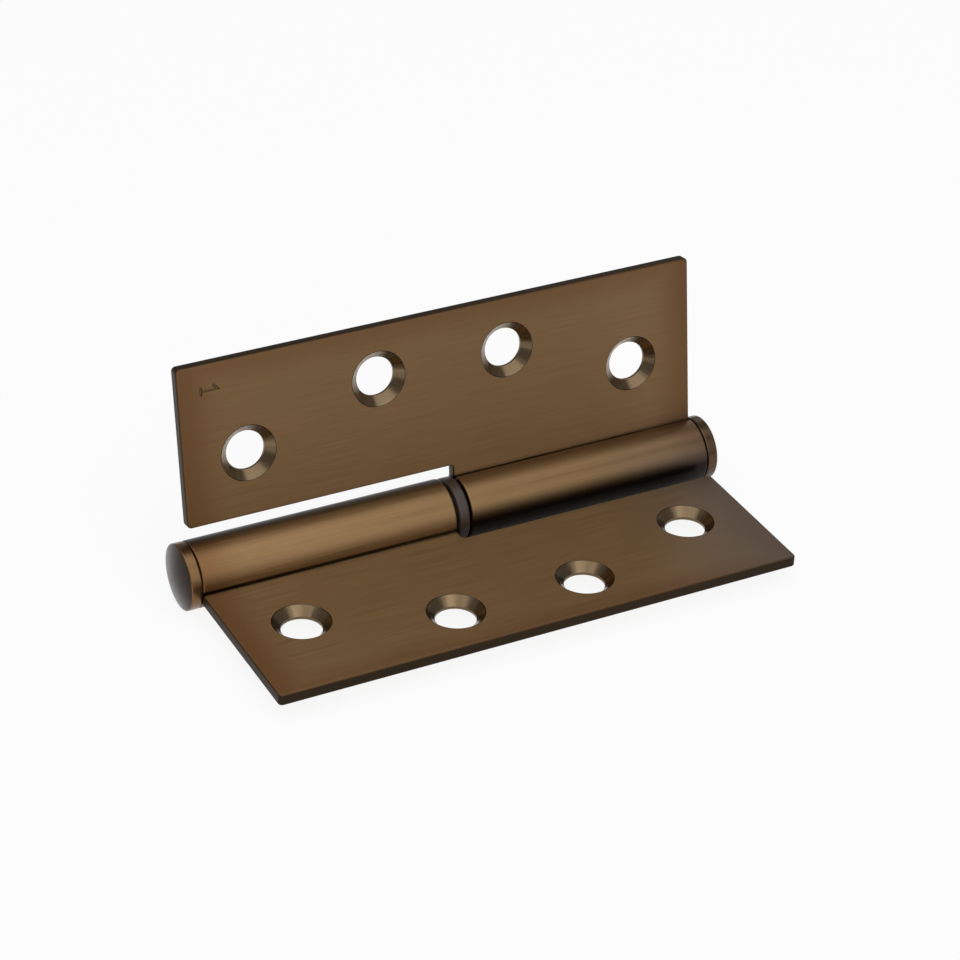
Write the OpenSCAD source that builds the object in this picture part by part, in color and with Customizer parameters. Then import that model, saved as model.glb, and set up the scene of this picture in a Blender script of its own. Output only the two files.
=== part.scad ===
// Lift-off hinge: two leaves of folded sheet, each rolled into a knuckle at one end of its length.
// The fixed pin stands in the frame leaf's knuckle, and the door leaf lifts off it.
// Origin: the middle of the frame leaf's screw holes, on its back face. +X runs up the pin in use,
// +Y from the frame leaf's free edge to the pin, +Z out of the frame leaf's front face.

/* [Leaves] */
// Length of each leaf, along the pin
leaf_l = 100; // [90:1:120]
// From the pin's axis to the leaf's free edge
leaf_w = 37.5; // [34:0.5:45]
// Thickness of the sheet
leaf_t = 2.2; // [1.8:0.1:3]
// Radius of the leaf's corners, seen from the front
corner_r = 0.6; // [0.5:0.1:2]
// Rounding of the leaf's long and short outer edges
edge_r = 0.35; // [0.2:0.05:0.45]
// Space left between the two leaves when the hinge is closed
closed_gap = 1.6; // [1:0.1:2.4]
// Angle from one leaf to the other, as the hinge stands open
open_angle = 99; // [60:1:170]

/* [Knuckles] */
// Outer diameter of the rolled knuckles
knuckle_d = 12; // [11:0.1:14]
// Length of each knuckle
knuckle_l = 48.9; // [42:0.1:49]
// From a leaf's notched edge to the other leaf's knuckle
notch_clear = 2; // [1:0.1:3]
// Slit between the roll's free end and its own leaf
slit_w = 0.35; // [0.2:0.05:0.5]
// Radius of the bend where the leaf's back runs into its knuckle
bend_r = 1.5; // [0.5:0.1:2]
// Rounding of the knuckles' ends
knuckle_edge_r = 0.25; // [0.1:0.05:0.4]

/* [Pin and washer] */
// Running clearance of the pin, on the radius
pin_clear = 0.05; // [0.03:0.01:0.1]
// Clearance of what is pressed into a knuckle, on the radius
press_clear = 0.02; // [0.01:0.01:0.04]
// From the pin's tip to the upper cap's spigot
tip_room = 5; // [2:0.5:10]
// Chamfer on the pin's ends
pin_chamfer = 1.2; // [0.5:0.1:2]
// Thickness of the washer between the knuckles
washer_t = 2.1; // [1:0.1:4]
// Diameter of the washer
washer_d = 11.8; // [11:0.1:14]
// Play below the washer
play_lower = 0.5; // [0.2:0.05:0.7]
// Play above the washer
play_upper = 0.3; // [0.2:0.05:0.6]
// Clearance of the washer's bore on the pin, on the radius
washer_clear = 0.08; // [0.05:0.01:0.1]
// Rounding of the washer's rim
washer_edge_r = 0.25; // [0.1:0.05:0.4]

/* [Caps] */
// Height of the cap's straight band
cap_band = 2; // [1.5:0.1:4]
// Rise of the cap's dome
cap_rise = 1.1; // [0.5:0.1:2.5]
// Length of the cap's spigot inside the knuckle
spigot_l = 6; // [4:0.5:10]
// Space between the lower cap's spigot and the pin
spigot_gap = 0.3; // [0.2:0.1:0.6]
// Rounding of the cap's seated edge
cap_edge_r = 0.2; // [0.1:0.05:0.4]

/* [Screw holes] */
// Diameter of a screw hole
hole_d = 7.2; // [5:0.1:7.6]
// Diameter of its countersink at the front face
csk_d = 10.3; // [9.5:0.1:11]
// Included angle of the countersink
csk_angle = 90; // [82:1:100]
// Distance from hole to hole along the leaf
hole_pitch = 25.2; // [24:0.1:27]
// From the leaf's free edge to the middle pair of holes
far_row = 9.8; // [8:0.1:12]
// Shift of the outer pair of holes towards the pin
row_stagger = 8.1; // [5:0.1:10]

/* [Stamped figure] */
// Height of the plain figure stamped on the door leaf
figure_h = 3.2; // [2:0.1:5]
// Width of its strokes
stroke_w = 0.45; // [0.3:0.05:0.8]
// Depth of its strokes
stroke_depth = 0.15; // [0.05:0.05:0.3]
// Turn of its short stroke from the line of the long one
figure_flag = 135; // [110:5:150]
// From the leaf's end to the figure
figure_end = 4.3; // [3:0.1:8]
// From the leaf's free edge to the figure
figure_edge = 4.6; // [3:0.1:8]

/* [Hidden] */
$fn = 96;
eps = 0.01;
far = 200;

knuckle_r = knuckle_d / 2;
bore_r = knuckle_r - leaf_t;
knuckle_gap = play_lower + washer_t + play_upper;
// The leaf's front and back faces lie below the pin's axis, by these amounts
front_z = closed_gap / 2;
back_z = front_z + leaf_t;
// Along the pin, from the middle of the gap between the knuckles
lower_end = -knuckle_gap / 2 - knuckle_l;
leaf_mid = lower_end + leaf_l / 2;
notch_edge = knuckle_r + notch_clear;
far_row_y = leaf_w - far_row;
near_row_y = far_row_y - row_stagger;
csk_depth = (csk_d - hole_d) / 2 / tan(csk_angle / 2);
pin_low = lower_end + spigot_l + spigot_gap;
pin_top = -lower_end - spigot_l - tip_room;
cap_dome_r = (knuckle_r * knuckle_r + cap_rise * cap_rise) / 2 / cap_rise;
// The pin's axis in the part's own frame
axis_x = -leaf_mid;
axis_y = (far_row_y + near_row_y) / 2;
axis_z = back_z;
bronze = [0.36, 0.26, 0.17];
steel = [0.55, 0.55, 0.56];
dark = [0.15, 0.12, 0.13];

// Turns a shape drawn round Z to run along +X
module along_x() {
    rotate([0, 90, 0]) children();
}

// A flat shape drawn in Y and Z, extruded along X from x0 to x1
module extrude_x(x0, x1) {
    translate([x0, 0, 0]) rotate([90, 0, 90]) linear_extrude(x1 - x0) children();
}

// What has to come off a square corner at the origin, in the first quadrant, to round it
module corner_cut(r) {
    difference() {
        translate([-eps, -eps]) square(r + eps);
        translate([r, r]) circle(r);
    }
}

// A rectangle with its four corners rounded
module rounded_rectangle(x0, y0, x1, y1, r) {
    difference() {
        translate([x0, y0]) square([x1 - x0, y1 - y0]);
        translate([x0, y0]) corner_cut(r);
        translate([x1, y0]) mirror([1, 0]) corner_cut(r);
        translate([x0, y1]) mirror([0, 1]) corner_cut(r);
        translate([x1, y1]) mirror([1, 0]) mirror([0, 1]) corner_cut(r);
    }
}

// The flat of the leaf from the front: full width beside its own knuckle, notched for the other one
module leaf_outline() {
    difference() {
        rounded_rectangle(lower_end, -leaf_w, lower_end + leaf_l, corner_r, corner_r);
        translate([lower_end - eps, 0]) square([leaf_l + 2 * eps, leaf_w]);
        translate([lower_end + knuckle_l, -notch_edge]) square([leaf_l, leaf_w]);
    }
}

// The sheet of the leaf, with its outer edges rounded
module leaf_plate() {
    intersection() {
        translate([0, 0, -far / 2]) linear_extrude(far) leaf_outline();
        extrude_x(-far, far) rounded_rectangle(-leaf_w, -back_z, far, -front_z, edge_r);
        translate([0, far / 2, 0]) rotate([90, 0, 0]) linear_extrude(far)
            rounded_rectangle(lower_end, -back_z, lower_end + leaf_l, -front_z, edge_r);
    }
}

// The roll round the pin, still without its bore
module knuckle_roll() {
    translate([lower_end, 0, 0]) along_x() rotate_extrude() difference() {
        square([knuckle_r, knuckle_l]);
        translate([knuckle_r, 0]) mirror([1, 0]) corner_cut(knuckle_edge_r);
        translate([knuckle_r, knuckle_l]) mirror([1, 0]) mirror([0, 1]) corner_cut(knuckle_edge_r);
    }
}

// The bend that leads the leaf's back into the roll
module knuckle_bend() {
    bend_z = -back_z - bend_r;
    bend_y = -sqrt(pow(knuckle_r + bend_r, 2) - bend_z * bend_z);
    touch = knuckle_r / (knuckle_r + bend_r);
    extrude_x(lower_end + edge_r, lower_end + knuckle_l) difference() {
        polygon([[bend_y, -back_z], [bend_y * touch, bend_z * touch], [-bore_r, -front_z], [bend_y, -front_z]]);
        translate([bend_y, bend_z]) circle(bend_r);
    }
}

// A screw hole with its countersink in the leaf's front face
module screw_hole() {
    translate([0, 0, -back_z - 1]) cylinder(d = hole_d, h = leaf_t + 2);
    translate([0, 0, -front_z - csk_depth])
        cylinder(d1 = hole_d, d2 = csk_d + 2 * tan(csk_angle / 2), h = csk_depth + 1);
}

// One leaf, with the pin's axis along X through the origin and its flat towards -Y.
// Both leaves are this same piece: the door leaf is turned end for end.
module leaf() {
    difference() {
        union() {
            leaf_plate();
            knuckle_roll();
            knuckle_bend();
        }
        translate([lower_end - 1, 0, 0]) along_x() cylinder(r = bore_r, h = knuckle_l + 2);
        translate([lower_end - 1, -knuckle_r - 1, -front_z]) cube([knuckle_l + 2, knuckle_r, slit_w]);
        for (side = [-1, 1]) {
            translate([leaf_mid + side * hole_pitch / 2, -far_row_y, 0]) screw_hole();
            translate([leaf_mid + side * hole_pitch * 3 / 2, -near_row_y, 0]) screw_hole();
        }
    }
}

// The strokes of a plain figure 1, lying on the door leaf's front with its top towards the upper end
module stamped_figure() {
    translate([leaf_l + lower_end - figure_end, -leaf_w + figure_edge, -front_z - stroke_depth]) mirror([1, 0, 0]) {
        cube([figure_h, stroke_w, 1]);
        translate([figure_h, stroke_w, 0]) rotate([0, 0, -figure_flag]) translate([0, -stroke_w, 0])
            cube([figure_h / 2, stroke_w, 1]);
    }
}

// A cap with its spigot, seated on a knuckle's end at the origin and rising along +X
module cap() {
    along_x() {
        rotate_extrude() {
            difference() {
                intersection() {
                    square([knuckle_r, cap_band + cap_rise]);
                    translate([0, cap_band + cap_rise - cap_dome_r]) circle(cap_dome_r, $fn = 360);
                }
                translate([knuckle_r, 0]) mirror([1, 0]) corner_cut(cap_edge_r);
            }
        }
        translate([0, 0, -spigot_l]) cylinder(r = bore_r - press_clear, h = spigot_l + 1);
    }
}

module frame_leaf() {
    color(bronze) place() leaf();
}

module door_leaf() {
    color(bronze) place() opened() difference() {
        leaf();
        stamped_figure();
    }
}

// The pin: pressed into the frame leaf's knuckle, and free in the door leaf's
module pin() {
    press_r = bore_r - press_clear;
    run_r = bore_r - pin_clear;
    color(steel) place() translate([pin_low, 0, 0]) along_x() rotate_extrude() polygon([
        [0, 0],
        [press_r - pin_chamfer, 0],
        [press_r, pin_chamfer],
        [press_r, -knuckle_gap / 2 - pin_low],
        [run_r, -knuckle_gap / 2 - pin_low],
        [run_r, pin_top - pin_low - pin_chamfer],
        [run_r - pin_chamfer, pin_top - pin_low],
        [0, pin_top - pin_low]
    ]);
}

module thrust_washer() {
    color(dark) place() translate([-knuckle_gap / 2 + play_lower, 0, 0]) along_x() rotate_extrude() difference() {
        square([washer_d / 2, washer_t]);
        translate([-1, -1]) square([1 + bore_r - pin_clear + washer_clear, washer_t + 2]);
        translate([washer_d / 2, 0]) mirror([1, 0]) corner_cut(washer_edge_r);
        translate([washer_d / 2, washer_t]) mirror([1, 0]) mirror([0, 1]) corner_cut(washer_edge_r);
    }
}

module lower_cap() {
    color(bronze) place() translate([lower_end, 0, 0]) mirror([1, 0, 0]) cap();
}

module upper_cap() {
    color(bronze) place() translate([-lower_end, 0, 0]) cap();
}

// From the pin's own frame to the part's frame
module place() {
    translate([axis_x, axis_y, axis_z]) children();
}

// Turns a leaf end for end and swings it open
module opened() {
    rotate([-open_angle, 0, 0]) rotate([0, 180, 0]) children();
}

frame_leaf();
door_leaf();
pin();
thrust_washer();
lower_cap();
upper_cap();
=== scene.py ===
"""A lift-off hinge of folded bronze-plated steel.

The frame leaf lies on a pale floor and the door leaf stands open."""
import math

import bmesh
import bpy
from mathutils import Matrix, Vector


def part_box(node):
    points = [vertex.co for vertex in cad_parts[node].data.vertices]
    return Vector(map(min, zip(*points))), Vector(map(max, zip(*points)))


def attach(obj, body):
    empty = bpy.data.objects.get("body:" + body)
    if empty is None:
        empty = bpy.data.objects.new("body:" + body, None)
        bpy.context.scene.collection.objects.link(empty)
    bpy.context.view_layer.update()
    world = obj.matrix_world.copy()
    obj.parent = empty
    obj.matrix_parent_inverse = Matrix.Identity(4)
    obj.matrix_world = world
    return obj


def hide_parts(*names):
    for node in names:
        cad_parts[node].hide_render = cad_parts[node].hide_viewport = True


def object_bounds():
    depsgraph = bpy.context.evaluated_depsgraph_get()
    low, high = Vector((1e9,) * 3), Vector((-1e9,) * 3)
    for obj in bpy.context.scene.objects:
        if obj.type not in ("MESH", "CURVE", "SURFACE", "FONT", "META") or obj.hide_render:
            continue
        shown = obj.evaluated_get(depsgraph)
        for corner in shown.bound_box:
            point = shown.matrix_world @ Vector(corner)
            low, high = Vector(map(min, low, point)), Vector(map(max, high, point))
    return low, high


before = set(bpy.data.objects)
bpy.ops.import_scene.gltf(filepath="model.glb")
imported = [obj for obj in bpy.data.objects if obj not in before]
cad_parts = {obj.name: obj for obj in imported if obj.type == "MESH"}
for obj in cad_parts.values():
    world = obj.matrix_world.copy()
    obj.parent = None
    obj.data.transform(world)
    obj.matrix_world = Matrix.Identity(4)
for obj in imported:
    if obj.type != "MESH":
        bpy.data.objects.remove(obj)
cad_low, cad_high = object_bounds()

MM = 0.001  # a millimetre, in metres
TOUCH = 1e-3  # how near a point lies to a plane that it counts as on, in millimetres
GRAIN = "grain"  # the UV map that follows the brushing: U along the grain, V across it, in millimetres
PATINA_AND_SHADE = "patina_and_shade"  # the mesh attribute that is 1 where the plating is dark, as on sheared edges, and where shade is painted, round countersink rims and in stamped strokes
AROUND = 2 * math.pi

# Sizes in millimetres. Every piece is modelled round the pin's axis, which is X,
# from the middle of the gap between the knuckles; the leaf lies towards -Y, its front up.
LEAF_LENGTH = 100.0
LEAF_WIDTH = 37.5
SHEET = 2.2
KNUCKLE_RADIUS = 6.0
KNUCKLE_LENGTH = 48.9
CLOSED_GAP = 1.6
NOTCH_CLEAR = 2.0
SLIT = 0.45
BEND_RADIUS = 1.5
CORNER_ROUND = 0.8
NOTCH_ROUND = 0.6
EDGE_ROUND = 0.4
OPEN_ANGLE = math.radians(99)

WASHER_THICK = 2.1
WASHER_RADIUS = 5.9
WASHER_BORE = 3.83
PLAY_BELOW = 0.5
PLAY_ABOVE = 0.3
PIN_PRESSED = 3.78
PIN_RUNNING = 3.75
PIN_CHAMFER = 1.2
TIP_ROOM = 5.0
SPIGOT_RADIUS = 3.78
SPIGOT_LENGTH = 6.0
SPIGOT_GAP = 0.3
CAP_BAND = 2.0
CAP_RISE = 1.1
CAP_ROUND = 0.3

HOLE_RADIUS = 3.6
SINK_RADIUS = 5.15
RIM_ROUND = 0.3
HOLE_PITCH = 25.2
MIDDLE_ROW = 27.7
OUTER_ROW = 19.6

FIGURE_HEIGHT = 3.2
FIGURE_FLAG = 1.6
FIGURE_FOOT = 1.6
FIGURE_END = 4.3
FIGURE_EDGE = 4.6
STROKE = 0.45
STROKE_DEPTH = 0.15

# What follows from them
BORE_RADIUS = KNUCKLE_RADIUS - SHEET
FRONT = -CLOSED_GAP / 2
BACK = FRONT - SHEET
KNUCKLE_GAP = PLAY_BELOW + WASHER_THICK + PLAY_ABOVE
LOWER_END = -KNUCKLE_GAP / 2 - KNUCKLE_LENGTH
KNUCKLE_FACE = -KNUCKLE_GAP / 2
LEAF_MID = LOWER_END + LEAF_LENGTH / 2
LEAF_END = LOWER_END + LEAF_LENGTH
NOTCH_EDGE = KNUCKLE_RADIUS + NOTCH_CLEAR
BEND_Z = BACK - BEND_RADIUS
BEND_Y = -math.sqrt((KNUCKLE_RADIUS + BEND_RADIUS) ** 2 - BEND_Z ** 2)
SINK_DEPTH = SINK_RADIUS - HOLE_RADIUS
HOLES = [
    (LEAF_MID - 1.5 * HOLE_PITCH, -OUTER_ROW),
    (LEAF_MID - 0.5 * HOLE_PITCH, -MIDDLE_ROW),
    (LEAF_MID + 0.5 * HOLE_PITCH, -MIDDLE_ROW),
    (LEAF_MID + 1.5 * HOLE_PITCH, -OUTER_ROW),
]

# The pin's axis in the part's frame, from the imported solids
pin_low, pin_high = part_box("pin")
lower_cap_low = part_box("lower_cap")[0]
upper_cap_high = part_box("upper_cap")[1]
PIN_AT = Vector((
    (lower_cap_low.x + upper_cap_high.x) / 2,
    (pin_low.y + pin_high.y) / 2,
    (pin_low.z + pin_high.z) / 2,
))
ON_PIN = Matrix.Translation(PIN_AT) @ Matrix.Scale(MM, 4)
OPENED = Matrix.Rotation(-OPEN_ANGLE, 4, "X") @ Matrix.Rotation(math.pi, 4, "Y")
UP_THE_PIN = Matrix.Rotation(math.pi / 2, 4, "Y")
DOWN_THE_PIN = Matrix.Rotation(-math.pi / 2, 4, "Y")


# Modelling by hand

def activate(piece):
    """Makes the piece the only one selected, and the active one."""
    bpy.ops.object.select_all(action="DESELECT")
    piece.select_set(True)
    bpy.context.view_layer.objects.active = piece


def new_piece(name):
    """Names the primitive that was just added, with its place in its mesh, and opens it in edit mode."""
    piece = bpy.context.object
    piece.name = piece.data.name = name
    bpy.ops.object.transform_apply(location=True, rotation=True, scale=True)
    bpy.ops.object.mode_set(mode="EDIT")
    return piece


def pick(kind, test):
    """Selects the open mesh's vertices, edges or faces whose points all pass the test."""
    bpy.ops.mesh.select_mode(type=kind)
    bpy.ops.mesh.select_all(action="DESELECT")
    data = bpy.context.edit_object.data
    mesh = bmesh.from_edit_mesh(data)
    parts = {"VERT": mesh.verts, "EDGE": mesh.edges, "FACE": mesh.faces}[kind]
    for part in parts:
        points = [part.co] if kind == "VERT" else [corner.co for corner in part.verts]
        part.select = all(test(point) for point in points)
    mesh.select_flush_mode()
    bmesh.update_edit_mesh(data)


def at(value, place):
    return abs(value - place) < TOUCH


def extrude(x=0.0, y=0.0, z=0.0):
    bpy.ops.mesh.extrude_region_move(TRANSFORM_OT_translate={"value": (x, y, z)})


def bevel(offset, segments):
    bpy.ops.mesh.bevel(offset=offset, segments=segments, affect="EDGES", clamp_overlap=False)


def close_edit():
    """Leaves edit mode with the mesh's normals outwards."""
    bpy.ops.mesh.select_mode(type="VERT")
    bpy.ops.mesh.select_all(action="SELECT")
    bpy.ops.mesh.remove_doubles(threshold=TOUCH)
    bpy.ops.mesh.normals_make_consistent(inside=False)
    bpy.ops.object.mode_set(mode="OBJECT")


def cut(piece, cutter):
    """Takes the cutter's shape out of the piece, and the cutter away."""
    activate(piece)
    boolean = piece.modifiers.new("cut", "BOOLEAN")
    boolean.operation = "DIFFERENCE"
    boolean.solver = "EXACT"
    boolean.object = cutter
    bpy.ops.object.modifier_apply(modifier=boolean.name)
    bpy.data.objects.remove(cutter)


def smooth(piece, angle=35.0):
    """Smooths the rounded edges while the large flats stay flat."""
    activate(piece)
    bpy.ops.object.shade_smooth_by_angle(angle=math.radians(angle))
    flats = piece.modifiers.new("flats", "WEIGHTED_NORMAL")
    flats.mode = "FACE_AREA"
    flats.keep_sharp = True
    bpy.ops.object.modifier_apply(modifier=flats.name)


def own_copy(piece, name):
    """A copy of the piece with its own mesh."""
    twin = piece.copy()
    twin.data = piece.data.copy()
    twin.name = twin.data.name = name
    bpy.context.scene.collection.objects.link(twin)
    return twin


def settle(piece, matrix, *materials):
    """Puts the modelled piece in its place in the hinge, as part of its mesh, with its finishes."""
    activate(piece)
    piece.matrix_world = matrix
    bpy.ops.object.transform_apply(location=True, rotation=True, scale=True)
    for material in materials:
        piece.data.materials.append(material)


def arc(centre, radius, start, end, steps):
    """Points of an arc in a turned profile, as (along the axis, from the axis), angles in degrees."""
    points = []
    for step in range(steps + 1):
        angle = math.radians(start + (end - start) * step / steps)
        points.append((centre[0] + radius * math.cos(angle), centre[1] + radius * math.sin(angle)))
    return points


def turned(name, profile, segments=96, closed=False):
    """A piece turned on a lathe along Z: a circle drawn out ring by ring along the profile's points.

    A profile that is closed is a ring's; otherwise its ends are filled, or drawn together at the axis."""
    bpy.ops.object.select_all(action="DESELECT")
    first_along, first_out = profile[0]
    bpy.ops.mesh.primitive_circle_add(
        vertices=segments, radius=first_out, location=(0, 0, first_along),
        fill_type="NOTHING" if closed else "NGON",
    )
    piece = new_piece(name)
    bpy.ops.mesh.select_mode(type="EDGE")
    bpy.ops.mesh.select_all(action="SELECT")
    along, out = first_along, first_out
    for next_along, next_out in profile[1:]:
        extrude(z=next_along - along)
        centre = (0, 0, next_along)
        if next_out == 0:
            bpy.ops.mesh.merge(type="CENTER")
            break
        share = next_out / out
        bpy.ops.transform.resize(value=(share, share, 1), center_override=centre)
        along, out = next_along, next_out
    close_edit()
    wrap_grain(piece, profile)
    return piece


# The grain maps

def grain_map(piece):
    """The piece's map of the brushing, and its only UV map."""
    for spare in list(piece.data.uv_layers):
        piece.data.uv_layers.remove(spare)
    return piece.data.uv_layers.new(name=GRAIN)


def wrap_grain(piece, profile):
    """Lays the grain round a turned piece: U runs round it and V along its profile."""
    lengths = [0.0]
    for (a0, r0), (a1, r1) in zip(profile, profile[1:]):
        lengths.append(lengths[-1] + math.hypot(a1 - a0, r1 - r0))
    grain = grain_map(piece)
    for face in piece.data.polygons:
        middle = face.center
        out = math.hypot(middle.x, middle.y)
        band = min(
            range(len(profile) - 1),
            key=lambda i: math.hypot(
                (profile[i][0] + profile[i + 1][0]) / 2 - middle.z,
                (profile[i][1] + profile[i + 1][1]) / 2 - out,
            ),
        )
        turn = math.atan2(middle.y, middle.x)
        for corner in face.loop_indices:
            point = piece.data.vertices[piece.data.loops[corner].vertex_index].co
            away = math.hypot(point.x, point.y)
            swing = math.remainder(math.atan2(point.y, point.x) - turn, AROUND) if away > TOUCH else 0.0
            ends = [math.dist(profile[i], (point.z, away)) for i in (band, band + 1)]
            along = lengths[band] if ends[0] < ends[1] else lengths[band + 1]
            grain.uv[corner].vector = ((turn + swing) * KNUCKLE_RADIUS, along)


def hole_of(point):
    """The screw hole whose countersink holds the point of the leaf, or None."""
    for x, y in HOLES:
        if math.hypot(point.x - x, point.y - y) < SINK_RADIUS + RIM_ROUND:
            return x, y
    return None


def lay_grain(leaf):
    """Lays the grain along a leaf and its roll, and round its countersinks. U is 0 at the leaf's middle.

    V is the distance from the pin's axis on the flat, and below zero on the roll."""
    grain = grain_map(leaf)
    for face in leaf.data.polygons:
        middle = face.center
        hole = hole_of(middle) if abs(face.normal.z) < 0.995 and middle.y < -NOTCH_EDGE else None
        on_roll = middle.y > BEND_Y
        turn = math.atan2(middle.z, middle.y)
        if hole:
            face.material_index = 1
            turn = math.atan2(middle.y - hole[1], middle.x - hole[0])
        for corner in face.loop_indices:
            point = leaf.data.vertices[leaf.data.loops[corner].vertex_index].co
            if hole:
                aside = Vector((point.x - hole[0], point.y - hole[1]))
                swing = math.remainder(math.atan2(aside.y, aside.x) - turn, AROUND)
                place = ((turn + swing) * SINK_RADIUS, aside.length - point.z)
            elif abs(face.normal.x) > 0.7:
                place = (LEAF_LENGTH / 2 + point.z, -point.y)
            elif on_roll:
                swing = math.remainder(math.atan2(point.z, point.y) - turn, AROUND)
                place = (point.x - LEAF_MID, (turn + swing - math.pi) * KNUCKLE_RADIUS)
            elif abs(face.normal.y) > 0.7:
                place = (point.x - LEAF_MID, -point.y + point.z - FRONT)
            else:
                place = (point.x - LEAF_MID, -point.y)
            grain.uv[corner].vector = place


def lay_patina_and_shade(piece, share_of):
    """Marks how dark each face of the piece is painted, from 0 to 1: dark plating, and painted shade where the share
    gives it.
    """
    patina_and_shade = piece.data.attributes.new(PATINA_AND_SHADE, "FLOAT", "CORNER")
    for face in piece.data.polygons:
        share = share_of(face)
        for corner in face.loop_indices:
            patina_and_shade.data[corner].value = share


def leaf_patina_and_shade(face):
    """Dark on a leaf's sheared edges, where the plating is dark; painted shade round the rims of its countersinks,
    and half as much in its stamped strokes.
    """
    middle, normal = face.center, face.normal
    sheared = 1 - normal.z ** 2
    if hole_of(middle):
        # Painted shade on the rounded rim of a countersink.
        return 0.6 if 0.75 < normal.z < 0.995 else 0.0
    if middle.y > BEND_Y:
        at_lip = middle.y < -BORE_RADIUS and FRONT - TOUCH < middle.z < FRONT + SLIT + EDGE_ROUND
        return normal.z ** 2 if at_lip else normal.x ** 2
    # Painted shade in the floors of the stamped strokes.
    if at(middle.z, FRONT - STROKE_DEPTH) and at(normal.z, 1):
        return 0.3
    return sheared


def cap_patina(face):
    """Dark on a cap's domed end and the face that meets the knuckle."""
    return 1.0 if abs(face.normal.z) > 0.8 else 0.0


# The pieces

def screw_hole_cutter(x, y):
    """The shape of one screw hole: a drilled hole, a 90 degree countersink and a rounded rim."""
    tangent = RIM_ROUND * math.tan(math.radians(22.5))
    rim = SINK_RADIUS + tangent
    profile = [(BACK - 1, HOLE_RADIUS + 0.15), (BACK, HOLE_RADIUS + 0.15), (BACK + 0.15, HOLE_RADIUS)]
    profile.append((FRONT - SINK_DEPTH, HOLE_RADIUS))
    profile += arc((FRONT - RIM_ROUND, rim), RIM_ROUND, -45, 0, 4)
    profile.append((FRONT + 1, rim))
    cutter = turned("screw_hole_cutter", profile)
    cutter.location = (x, y, 0)
    return cutter


def stroke_cutter(x, y, length, turn):
    """One stroke of the stamped figure, its sides drawn in towards the bottom."""
    bpy.ops.object.select_all(action="DESELECT")
    bpy.ops.mesh.primitive_plane_add(size=1, location=(0, 0, FRONT - STROKE_DEPTH))
    cutter = new_piece("stroke_cutter")
    bpy.ops.mesh.select_all(action="SELECT")
    floor_z = FRONT - STROKE_DEPTH
    bpy.ops.transform.resize(value=(length - STROKE / 2, STROKE / 2, 1), center_override=(0, 0, floor_z))
    extrude(z=2 * STROKE_DEPTH)
    widen = ((length + STROKE / 2) / (length - STROKE / 2), 3, 1)
    bpy.ops.transform.resize(value=widen, center_override=(0, 0, FRONT + STROKE_DEPTH))
    close_edit()
    cutter.location = (x, y, 0)
    cutter.rotation_euler = (0, 0, turn)
    return cutter


def rolled_leaf():
    """One leaf as it is folded: a strip rolled round the pin, bent back to the flat, and drawn out to the leaf."""
    roll_mid = (LOWER_END + KNUCKLE_FACE) / 2
    lip_y = -(BORE_RADIUS + KNUCKLE_RADIUS) / 2
    bpy.ops.object.select_all(action="DESELECT")
    bpy.ops.mesh.primitive_plane_add(size=1, location=(roll_mid, lip_y, 0))
    leaf = new_piece("leaf")
    bpy.ops.mesh.select_mode(type="FACE")
    bpy.ops.mesh.select_all(action="SELECT")
    bpy.ops.transform.resize(value=(KNUCKLE_LENGTH, SHEET, 1), center_override=(roll_mid, lip_y, 0))
    bend = math.atan2(-BEND_Y, -BEND_Z)
    bpy.ops.mesh.spin(steps=90, angle=1.5 * math.pi + bend, center=(0, 0, 0), axis=(1, 0, 0))
    bpy.ops.mesh.spin(steps=10, angle=bend, center=(0, BEND_Y, BEND_Z), axis=(-1, 0, 0))
    extrude(y=-NOTCH_EDGE - BEND_Y)
    extrude(y=NOTCH_EDGE - LEAF_WIDTH)
    pick("FACE", lambda p: at(p.x, KNUCKLE_FACE) and p.y < -NOTCH_EDGE + TOUCH)
    extrude(x=LEAF_END - KNUCKLE_FACE)
    pick("FACE", lambda p: at(p.z, 0) and p.y < 0)
    bpy.ops.transform.translate(value=(0, 0, FRONT + SLIT))
    close_edit()

    bpy.ops.object.mode_set(mode="EDIT")
    outer_corners = [(LOWER_END, -LEAF_WIDTH), (LEAF_END, -LEAF_WIDTH), (LEAF_END, -NOTCH_EDGE)]
    for x, y in outer_corners:
        pick("EDGE", lambda p: at(p.x, x) and at(p.y, y))
        bevel(CORNER_ROUND, 6)
    pick("EDGE", lambda p: at(p.x, KNUCKLE_FACE) and at(p.y, -NOTCH_EDGE))
    bevel(NOTCH_ROUND, 4)
    bpy.ops.mesh.select_mode(type="EDGE")
    bpy.ops.mesh.select_all(action="DESELECT")
    bpy.ops.mesh.edges_select_sharp(sharpness=math.radians(50))
    bevel(EDGE_ROUND, 4)
    close_edit()
    for x, y in HOLES:
        cut(leaf, screw_hole_cutter(x, y))
    return leaf


def stamp_figure(leaf):
    """Stamps a plain figure 1 in the leaf, near its free corner, its head towards the other end."""
    foot = LEAF_END - FIGURE_END
    head = foot - FIGURE_HEIGHT
    y = -LEAF_WIDTH + FIGURE_EDGE + STROKE / 2
    reach = (FIGURE_FLAG - STROKE) / 2 * math.sqrt(0.5)
    cut(leaf, stroke_cutter((foot + head) / 2, y, FIGURE_HEIGHT, 0))
    cut(leaf, stroke_cutter(head + reach, y - reach, FIGURE_FLAG, math.radians(-45)))
    cut(leaf, stroke_cutter(foot, y, FIGURE_FOOT, math.radians(90)))


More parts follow.
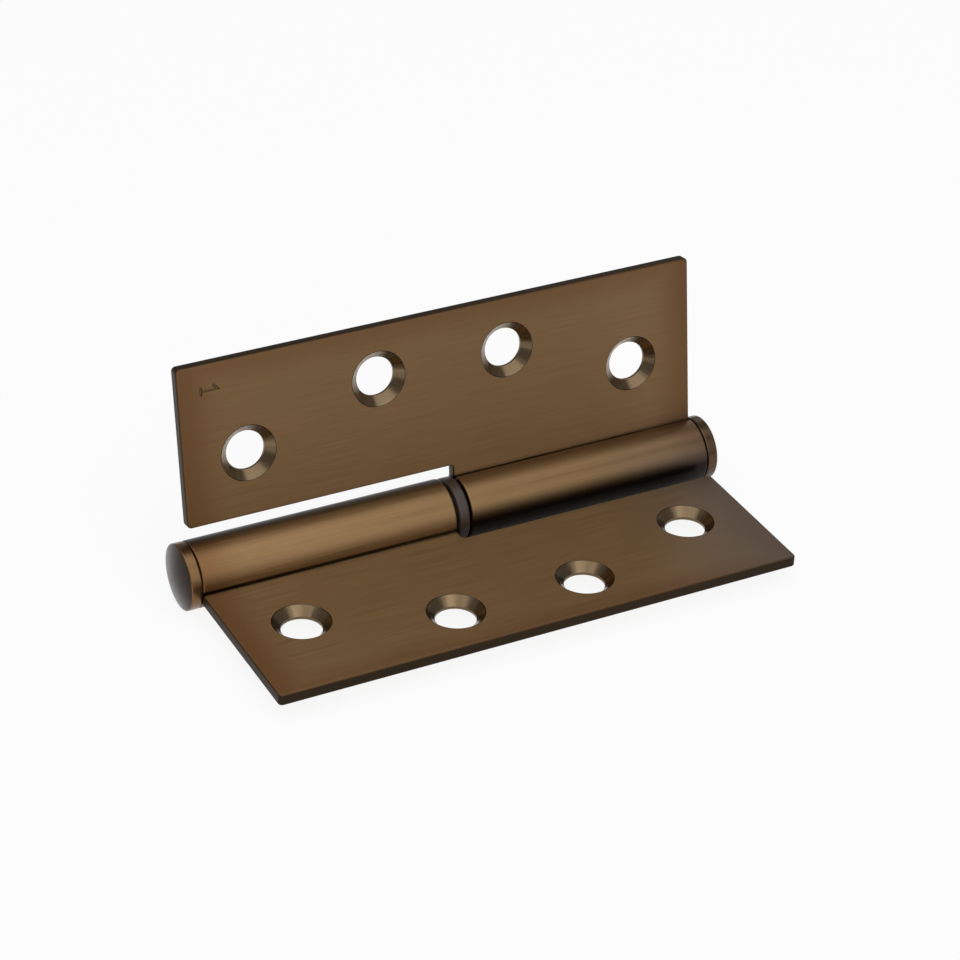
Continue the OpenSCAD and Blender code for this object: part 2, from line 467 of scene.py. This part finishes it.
def end_cap():
    """A domed cap, turned from bar with a spigot that is pressed into the knuckle."""
    dome_radius = (KNUCKLE_RADIUS ** 2 + CAP_RISE ** 2) / 2 / CAP_RISE
    dome_centre = CAP_BAND + CAP_RISE - dome_radius
    rim_angle = math.degrees(math.asin((KNUCKLE_RADIUS - CAP_ROUND) / (dome_radius - CAP_ROUND)))
    rim = (dome_centre + (dome_radius - CAP_ROUND) * math.cos(math.radians(rim_angle)), KNUCKLE_RADIUS - CAP_ROUND)
    profile = [(-SPIGOT_LENGTH, SPIGOT_RADIUS - 0.5), (-SPIGOT_LENGTH + 0.5, SPIGOT_RADIUS), (0, SPIGOT_RADIUS)]
    profile += arc((CAP_ROUND, KNUCKLE_RADIUS - CAP_ROUND), CAP_ROUND, 180, 90, 4)
    profile += arc(rim, CAP_ROUND, 90, rim_angle, 5)
    profile += arc((dome_centre, 0), dome_radius, rim_angle, rim_angle / 12, 11)[1:]
    profile.append((CAP_BAND + CAP_RISE, 0))
    return turned("cap", profile)


def hinge_pin():
    """The pin, ground to a press fit below the gap and to a running fit above it."""
    low = LOWER_END + SPIGOT_LENGTH + SPIGOT_GAP
    top = -LOWER_END - SPIGOT_LENGTH - TIP_ROOM
    profile = [(low, PIN_PRESSED - PIN_CHAMFER), (low + PIN_CHAMFER, PIN_PRESSED), (KNUCKLE_FACE, PIN_PRESSED)]
    profile.append((KNUCKLE_FACE + 0.2, PIN_RUNNING))
    profile += arc((top - PIN_CHAMFER, PIN_RUNNING - PIN_CHAMFER), PIN_CHAMFER, 90, 10, 8)
    profile.append((top, 0))
    return turned("hinge_pin", profile)


def thrust_ring():
    """The washer between the knuckles, with a rounded rim and a relieved bore."""
    low = KNUCKLE_FACE + PLAY_BELOW
    high = low + WASHER_THICK
    rim = WASHER_RADIUS - EDGE_ROUND
    profile = [(high - 0.2, WASHER_BORE), (low + 0.2, WASHER_BORE), (low, WASHER_BORE + 0.2)]
    profile += arc((low + EDGE_ROUND, rim), EDGE_ROUND, 180, 90, 4)
    profile += arc((high - EDGE_ROUND, rim), EDGE_ROUND, 90, 0, 4)
    profile += [(high, WASHER_BORE + 0.2), (high - 0.2, WASHER_BORE)]
    return turned("thrust_ring", profile, closed=True)


# Finishes

def colour(code):
    """The linear colour of an sRGB hex code."""
    channels = [int(code[i:i + 2], 16) / 255 for i in (0, 2, 4)]
    return [c / 12.92 if c <= 0.04045 else ((c + 0.055) / 1.055) ** 2.4 for c in channels] + [1.0]


def add(tree, kind, inputs, **settings):
    """Adds a node of that kind, with its settings, and gives each input a value or another node's output."""
    node = tree.nodes.new(kind)
    for name, value in settings.items():
        setattr(node, name, value)
    for socket, source in inputs.items():
        if isinstance(source, bpy.types.NodeSocket):
            tree.links.new(source, node.inputs[socket])
        else:
            node.inputs[socket].default_value = source
    return node


def new_material(name):
    """An empty material with its shader, and the tree that they are in."""
    material = bpy.data.materials.new(name)
    material.use_nodes = True
    tree = material.node_tree
    tree.nodes.clear()
    shader = add(tree, "ShaderNodeBsdfPrincipled", {})
    add(tree, "ShaderNodeOutputMaterial", {"Surface": shader.outputs["BSDF"]})
    return material, tree, shader


def grained_finish(
    name, plate, worn, grain, roughness, anisotropy, relief, streaks, unevenness=0.04, coat=0.0, metallic=1.0,
):
    """A satin surface with a directional grain, whose stroke length and width are given in millimetres.

    The grain shows as fine streaks of tone, gloss and relief, and slow clouds of tone are wear in the surface."""
    material, tree, shader = new_material(name)
    uv = add(tree, "ShaderNodeUVMap", {}, uv_map=GRAIN).outputs["UV"]
    here = add(tree, "ShaderNodeTexCoord", {}).outputs["Object"]
    length, width = grain
    strokes_at = add(tree, "ShaderNodeMapping", {"Vector": uv, "Scale": (1 / length, 1 / width, 1)})
    strokes = add(tree, "ShaderNodeTexNoise", {
        "Vector": strokes_at.outputs["Vector"], "Scale": 1.0, "Detail": 3.0, "Roughness": 0.6,
    }, noise_dimensions="2D")
    clouds = add(tree, "ShaderNodeTexNoise", {"Vector": here, "Scale": 70.0, "Detail": 4.0, "Roughness": 0.6})
    tone = add(tree, "ShaderNodeMix", {
        "Factor": clouds.outputs["Fac"], "A": colour(plate), "B": colour(worn),
    }, data_type="RGBA")
    streak = add(tree, "ShaderNodeMapRange", {
        "Value": strokes.outputs["Fac"], "From Min": 0.3, "From Max": 0.7,
        "To Min": 1 - streaks, "To Max": 1 + streaks,
    })
    streaked = add(tree, "ShaderNodeVectorMath", {
        0: tone.outputs["Result"], 1: streak.outputs["Result"],
    }, operation="MULTIPLY")
    spread = add(tree, "ShaderNodeMapRange", {
        "Value": strokes.outputs["Fac"], "From Min": 0.3, "From Max": 0.7,
        "To Min": roughness - unevenness, "To Max": roughness + unevenness,
    })
    tree.links.new(spread.outputs["Result"], shader.inputs["Roughness"])
    bump = add(tree, "ShaderNodeBump", {
        "Height": strokes.outputs["Fac"], "Distance": relief * MM, "Strength": 1.0,
    })
    tree.links.new(bump.outputs["Normal"], shader.inputs["Normal"])
    tangent = add(tree, "ShaderNodeTangent", {}, direction_type="UV_MAP", uv_map=GRAIN)
    tree.links.new(tangent.outputs["Tangent"], shader.inputs["Tangent"])
    shader.inputs["Metallic"].default_value = metallic
    shader.inputs["Anisotropic"].default_value = anisotropy
    shader.inputs["Anisotropic Rotation"].default_value = 0.25
    shader.inputs["Coat Weight"].default_value = coat
    shader.inputs["Coat Roughness"].default_value = 0.3
    return material, tree, shader, streaked.outputs["Vector"]


def painted_end_reflection_and_shade(tree, plain, grey, share, low, high):
    """Paints the plain colour greyer towards the end of the hinge that is up in use, below the height high: a painted
    grey reflection and shade.
    """
    here = add(tree, "ShaderNodeTexCoord", {}).outputs["Object"]
    place = add(tree, "ShaderNodeSeparateXYZ", {"Vector": here})
    near_top = add(tree, "ShaderNodeMapRange", {
        "Value": place.outputs["X"], "From Min": 22 * MM, "From Max": 52 * MM, "To Max": share,
    }, interpolation_type="SMOOTHSTEP")
    lying = add(tree, "ShaderNodeMapRange", {
        "Value": place.outputs["Z"], "From Min": low * MM, "From Max": high * MM, "To Min": 1.0, "To Max": 0.0,
    }, interpolation_type="SMOOTHSTEP")
    reach = add(tree, "ShaderNodeMath", {0: near_top.outputs[0], 1: lying.outputs[0]}, operation="MULTIPLY")
    mixed = add(tree, "ShaderNodeMix", {
        "Factor": reach.outputs[0], "A": plain, "B": colour(grey),
    }, data_type="RGBA")
    return mixed.outputs["Result"]


def darkened(tree, shader, plain, dark):
    """Turns the plain colour to the dark one where the piece's mark of dark plating and painted shade says so."""
    patina_and_shade = add(tree, "ShaderNodeAttribute", {}, attribute_name=PATINA_AND_SHADE)
    mixed = add(tree, "ShaderNodeMix", {"Factor": patina_and_shade.outputs["Fac"], "A": plain, "B": colour(dark)},
                data_type="RGBA")
    tree.links.new(mixed.outputs["Result"], shader.inputs["Base Color"])


def brushed_sheet():
    """Bronze-plated steel sheet, brushed along the leaf and lacquered.

    The brushing draws light across it, its border is warmer, where the plating is burnished, and towards the end
    that is up in use, low down, it is painted greyer and darker as reflection and shade. The roll was polished on its
    mandrel, so it is smoother, and a band round it is painted near black as shade."""
    material, tree, shader, brushed = grained_finish(
        "brushed_bronze_plated_steel", "8a6b4c", "7f6642",
        grain=(16.0, 0.35), roughness=0.56, anisotropy=0.75, relief=0.008, streaks=0.1, coat=0.16,
    )
    uv = add(tree, "ShaderNodeUVMap", {}, uv_map=GRAIN).outputs["UV"]
    places = add(tree, "ShaderNodeSeparateXYZ", {"Vector": uv})
    along = add(tree, "ShaderNodeMath", {0: places.outputs["X"]}, operation="ABSOLUTE")
    near_end = add(tree, "ShaderNodeMapRange", {
        "Value": along.outputs[0], "From Min": LEAF_LENGTH / 2 - 9, "From Max": LEAF_LENGTH / 2, "To Max": 0.52,
    }, interpolation_type="SMOOTHSTEP")
    near_side = add(tree, "ShaderNodeMapRange", {
        "Value": places.outputs["Y"], "From Min": LEAF_WIDTH - 6, "From Max": LEAF_WIDTH, "To Max": 0.36,
    }, interpolation_type="SMOOTHSTEP")
    border = add(tree, "ShaderNodeMath", {0: near_end.outputs[0], 1: near_side.outputs[0]}, operation="MAXIMUM")
    burnished = add(tree, "ShaderNodeMix", {
        "Factor": border.outputs[0], "A": brushed, "B": colour("663c1a"),
    }, data_type="RGBA")
    here = add(tree, "ShaderNodeTexCoord", {}).outputs["Object"]
    place = add(tree, "ShaderNodeSeparateXYZ", {"Vector": here})
    # A band round the roll is painted near black: painted shade, placed a little differently on the two knuckles.
    shade_band_shift = add(tree, "ShaderNodeMapRange", {
        "Value": place.outputs["X"], "From Min": PIN_AT.x - MM, "From Max": PIN_AT.x + MM, "To Min": -3.5, "To Max": 0,
    })
    round_roll = add(tree, "ShaderNodeMath", {0: places.outputs["Y"], 1: shade_band_shift.outputs[0]}, operation="ADD")
    past_back = add(tree, "ShaderNodeMapRange", {
        "Value": round_roll.outputs[0], "From Min": -19.5, "From Max": -15.0,
    }, interpolation_type="SMOOTHSTEP")
    wider = add(tree, "ShaderNodeMapRange", {
        "Value": place.outputs["X"], "From Min": PIN_AT.x - MM, "From Max": PIN_AT.x + MM, "To Max": -1.8,
    })
    round_top = add(tree, "ShaderNodeMath", {0: places.outputs["Y"], 1: wider.outputs[0]}, operation="ADD")
    past_top = add(tree, "ShaderNodeMapRange", {
        "Value": round_top.outputs[0], "From Min": -12.0, "From Max": -8.2, "To Min": 0.96, "To Max": 0.0,
    }, interpolation_type="SMOOTHSTEP")
    painted_shade_band = add(tree, "ShaderNodeMath", {0: past_back.outputs[0], 1: past_top.outputs[0]}, operation="MULTIPLY")
    # Towards the upper end, low down, the colour takes a painted grey reflection and shade, and then the painted shade
    # band.
    with_painted_shade = add(tree, "ShaderNodeMix", {
        "Factor": painted_shade_band.outputs[0],
        "A": painted_end_reflection_and_shade(tree, burnished.outputs["Result"], "6a625c", 0.6, 3, 12),
        "B": colour("110a06"),
    }, data_type="RGBA")
    darkened(tree, shader, with_painted_shade.outputs["Result"], "2f210e")
    spread = shader.inputs["Roughness"].links[0].from_socket
    on_roll = add(tree, "ShaderNodeMapRange", {
        "Value": places.outputs["Y"], "From Min": 4.0, "From Max": 7.0, "To Min": -0.22, "To Max": 0.0,
    })
    polished = add(tree, "ShaderNodeMath", {0: spread, 1: on_roll.outputs["Result"]}, operation="ADD")
    tree.links.new(polished.outputs[0], shader.inputs["Roughness"])
    return material


def turned_finish(name, plate, worn, dark, painted_top_shade=0.0, **looks):
    """A surface turned on a lathe, dark where its mark of dark plating and painted shade says so, and painted
    greyer at the top by its share, as shade.
    """
    material, tree, shader, plain = grained_finish(name, plate, worn, **looks)
    if painted_top_shade:
        plain = painted_end_reflection_and_shade(tree, plain, "3c332b", painted_top_shade, 20, 30)
    darkened(tree, shader, plain, dark)
    return material


leaf_finish = brushed_sheet()

# Cut with a countersink after the brushing: fine rings, bright where they face the light. The rings are
# drawn about three times as coarse as the cutter's feed, so that they show.
# Its dark colour is painted shade round the countersink's rim.
sink_finish = turned_finish(
    "countersunk_bronze_plated_steel", "847156", "66543f", "1e1610",
    grain=(200.0, 0.7), roughness=0.24, anisotropy=0.65, relief=0.03, streaks=0.7, coat=0.1,
)
# Turned from bar and plated: a satin band with a fine round grain, and a darker dome. The upper cap is greyed and
# darkened by painted shade.
cap_finish = turned_finish(
    "turned_bronze_plated_steel", "7e5e40", "6c5135", "2a1d14", painted_top_shade=0.65,
    grain=(6.0, 0.3), roughness=0.3, anisotropy=0.4, relief=0.008, streaks=0.1, coat=0.12,
)
# Centreless ground and oiled: bright, with fine marks round it.
pin_finish = turned_finish(
    "ground_steel", "a8a6a2", "969490", "969490",
    grain=(40.0, 0.9), roughness=0.27, anisotropy=0.2, relief=0.0003, streaks=0.03, unevenness=0.006,
)
# Turned from rod: a dark satin plastic with fine marks round it.
washer_finish = turned_finish(
    "dark_nylon", "40332a", "362b23", "362b23",
    grain=(6.0, 0.3), roughness=0.42, anisotropy=0.3, relief=0.01, streaks=0.15, metallic=0.0,
)


# The hinge

leaf = rolled_leaf()
door_sheet = own_copy(leaf, "door_leaf_sheet")
leaf.name = leaf.data.name = "frame_leaf_sheet"
stamp_figure(door_sheet)
for sheet in (leaf, door_sheet):
    lay_grain(sheet)
    lay_patina_and_shade(sheet, leaf_patina_and_shade)
    smooth(sheet)
settle(leaf, ON_PIN, leaf_finish, sink_finish)
settle(door_sheet, ON_PIN @ OPENED, leaf_finish, sink_finish)

lower_dome = end_cap()
lay_patina_and_shade(lower_dome, cap_patina)
smooth(lower_dome)
upper_dome = own_copy(lower_dome, "upper_domed_cap")
lower_dome.name = lower_dome.data.name = "lower_domed_cap"
settle(lower_dome, ON_PIN @ Matrix.Translation((LOWER_END, 0, 0)) @ DOWN_THE_PIN, cap_finish)
settle(upper_dome, ON_PIN @ Matrix.Translation((-LOWER_END, 0, 0)) @ UP_THE_PIN, cap_finish)

standing_pin = hinge_pin()
smooth(standing_pin)
settle(standing_pin, ON_PIN @ UP_THE_PIN, pin_finish)
ring = thrust_ring()
smooth(ring)
settle(ring, ON_PIN @ UP_THE_PIN, washer_finish)

for piece, body, node, slot in (
    (leaf, "frame_side", "frame_leaf", "leaf_bronze"),
    (door_sheet, "door_side", "door_leaf", "leaf_bronze"),
    (lower_dome, "frame_side", "lower_cap", "cap_bronze"),
    (upper_dome, "door_side", "upper_cap", "cap_bronze"),
    (standing_pin, "frame_side", "pin", "pin_steel"),
    (ring, "washer", "thrust_washer", "washer_dark"),
):
    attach(piece, body)
    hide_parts(node)


# The studio

CAMERA_AIM = Vector((6.26, 23.75, 7.66)) * MM
CAMERA_AWAY = 542.1 * MM
CAMERA_AZIMUTH = math.radians(-28.87)
CAMERA_ELEVATION = math.radians(32.29)
CAMERA_ROLL = math.radians(2.52)
FLOOR_GLOW = 0.9  # how much of the floor's white is its own
SKY = 0.3  # white paper lit by the sky alone would be this bright


def make_camera():
    """The photograph's viewpoint: from the left of the frame leaf's free edge, looking down on it."""
    lens = bpy.data.cameras.new("camera")
    lens.lens = 113.6
    lens.sensor_width = 36.0
    lens.clip_start = 0.01
    camera = bpy.data.objects.new("camera", lens)
    bpy.context.scene.collection.objects.link(camera)
    level = math.cos(CAMERA_ELEVATION)
    back = Vector((
        math.sin(CAMERA_AZIMUTH) * level,
        -math.cos(CAMERA_AZIMUTH) * level,
        math.sin(CAMERA_ELEVATION),
    ))
    turn = back.to_track_quat("Z", "Y").to_matrix().to_4x4()
    camera.matrix_world = (
        Matrix.Translation(CAMERA_AIM + back * CAMERA_AWAY) @ turn @ Matrix.Rotation(CAMERA_ROLL, 4, "Z")
    )
    bpy.context.scene.camera = camera


def make_floor():
    """A plain white floor, which glows of itself, apart from the strip that the barrel keeps in its shadow."""
    bpy.ops.object.select_all(action="DESELECT")
    bpy.ops.mesh.primitive_plane_add(size=6, location=(0, 0, cad_low.z))
    floor = bpy.context.object
    floor.name = "floor"
    bpy.ops.object.transform_apply(location=True, rotation=True, scale=True)
    material = bpy.data.materials.new("white_paper")
    material.use_nodes = True
    tree = material.node_tree
    tree.nodes.clear()
    path = add(tree, "ShaderNodeLightPath", {})
    seen = add(tree, "ShaderNodeMath", {
        0: path.outputs["Is Camera Ray"], 1: path.outputs["Is Glossy Ray"],
    }, operation="MAXIMUM")
    seen = add(tree, "ShaderNodeMath", {
        0: seen.outputs[0], 1: path.outputs["Is Transmission Ray"],
    }, operation="MAXIMUM")
    here = add(tree, "ShaderNodeTexCoord", {}).outputs["Object"]
    beside = add(tree, "ShaderNodeVectorMath", {
        0: here, 1: (PIN_AT.x + 5 * MM, PIN_AT.y, cad_low.z),
    }, operation="SUBTRACT")
    beside = add(tree, "ShaderNodeVectorMath", {0: beside.outputs[0]}, operation="ABSOLUTE")
    beyond = add(tree, "ShaderNodeVectorMath", {
        0: beside.outputs[0], 1: (47 * MM, 9.5 * MM, 0),
    }, operation="SUBTRACT")
    beyond = add(tree, "ShaderNodeVectorMath", {0: beyond.outputs[0], 1: (0, 0, 0)}, operation="MAXIMUM")
    away = add(tree, "ShaderNodeVectorMath", {0: beyond.outputs[0]}, operation="LENGTH")
    glow_here = add(tree, "ShaderNodeMapRange", {
        "Value": away.outputs["Value"], "From Min": 0, "From Max": 2 * MM, "To Max": FLOOR_GLOW,
    })
    share = add(tree, "ShaderNodeMath", {0: seen.outputs[0], 1: glow_here.outputs[0]}, operation="MULTIPLY")
    paper = add(tree, "ShaderNodeBsdfDiffuse", {"Color": colour("f4f4f4")})
    glow = add(tree, "ShaderNodeEmission", {"Color": (1, 1, 1, 1), "Strength": 1.0})
    mixed = add(tree, "ShaderNodeMixShader", {
        0: share.outputs[0], 1: paper.outputs["BSDF"], 2: glow.outputs["Emission"],
    })
    add(tree, "ShaderNodeOutputMaterial", {"Surface": mixed.outputs["Shader"]})
    floor.data.materials.append(material)


def make_world():
    """Even soft light from all round."""
    world = bpy.data.worlds.new("studio")
    bpy.context.scene.world = world
    world.use_nodes = True
    tree = world.node_tree
    tree.nodes.clear()
    sky = add(tree, "ShaderNodeBackground", {"Color": (1, 1, 1, 1), "Strength": SKY})
    add(tree, "ShaderNodeOutputWorld", {"Surface": sky.outputs["Background"]})


def add_softbox(name, place, target, width, depth, radiance):
    """A soft lamp, aimed at the target, whose face is as bright as white paper times its radiance; in metres."""
    lamp = bpy.data.lights.new(name, "AREA")
    lamp.shape = "RECTANGLE"
    lamp.size = width
    lamp.size_y = depth
    lamp.energy = radiance * math.pi * width * depth
    softbox = bpy.data.objects.new(name, lamp)
    bpy.context.scene.collection.objects.link(softbox)
    aim = Vector(place) - Vector(target)
    softbox.location = place
    softbox.rotation_mode = "QUATERNION"
    softbox.rotation_quaternion = aim.to_track_quat("Z", "Y")


make_camera()
make_floor()
make_world()
add_softbox("front", (-0.03, -0.80, 0.48), (0, 0, 0), 1.2, 0.8, 1.1)
add_softbox("overhead", (-0.08, -0.12, 0.9), (0, 0, 0), 1.2, 1.0, 1.27)
add_softbox("rim", (0.62, 0.75, 0.55), (0.04, 0, 0), 0.35, 0.35, 0.7)
bpy.context.scene.view_settings.view_transform = "Standard"
